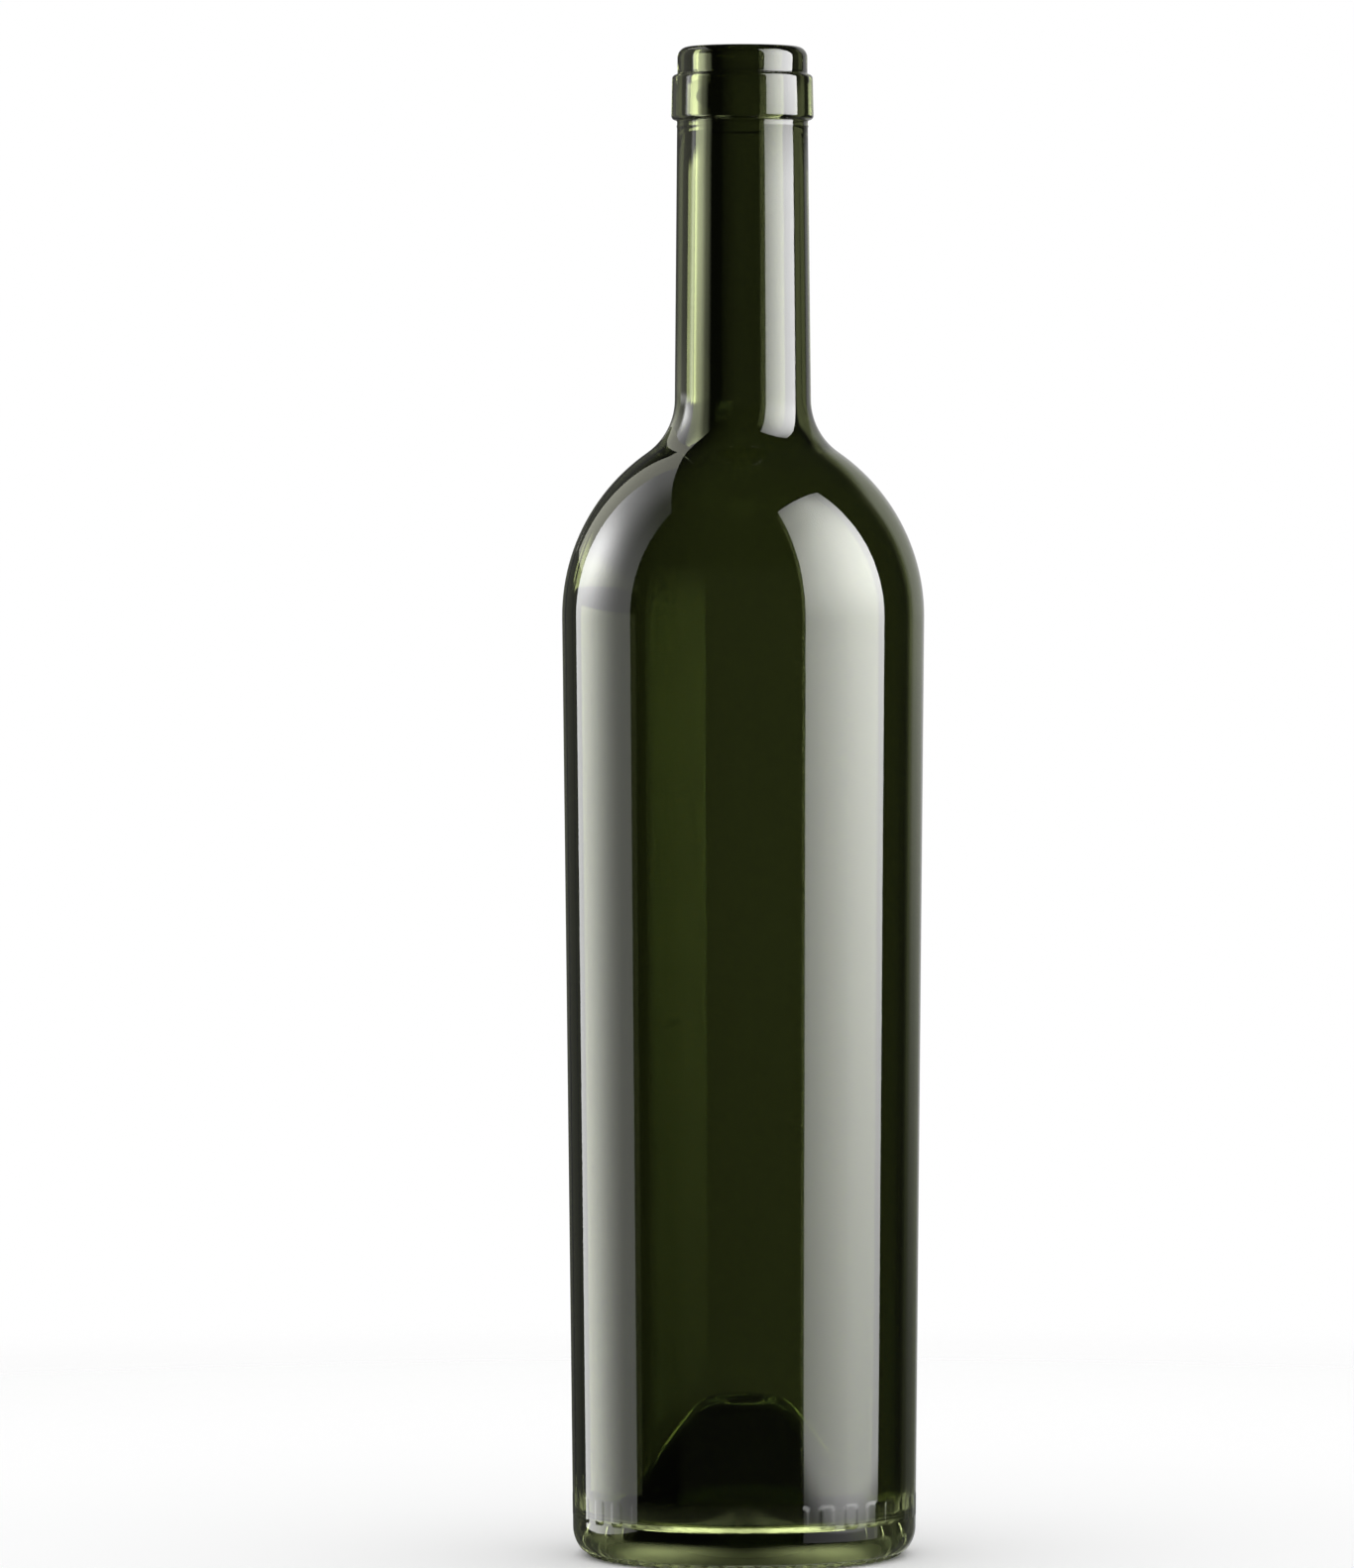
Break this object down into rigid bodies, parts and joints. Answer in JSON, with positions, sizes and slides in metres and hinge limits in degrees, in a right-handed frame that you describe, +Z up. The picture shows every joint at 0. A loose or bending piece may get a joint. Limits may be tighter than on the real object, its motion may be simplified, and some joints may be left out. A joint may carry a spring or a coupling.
{
  "type": "wine bottle",
  "caption": "Empty dark green glass bordeaux bottle with a flat-band cork finish, round shoulders, a slightly tapered body and a deep punt.",
  "frame": {"origin": "on the bottle's axis, in the plane that its standing ring rests on", "axes": "+Z up the bottle's axis towards the mouth; X and Y lie in the standing plane, and the view of the picture looks along +Y"},
  "size_m": [0.0756, 0.0756, 0.315],
  "materials": {
    "green_glass": "polished"
  },
  "bodies": {
    "root": {"glass_bottle": "green_glass"}
  },
  "joints": []
}
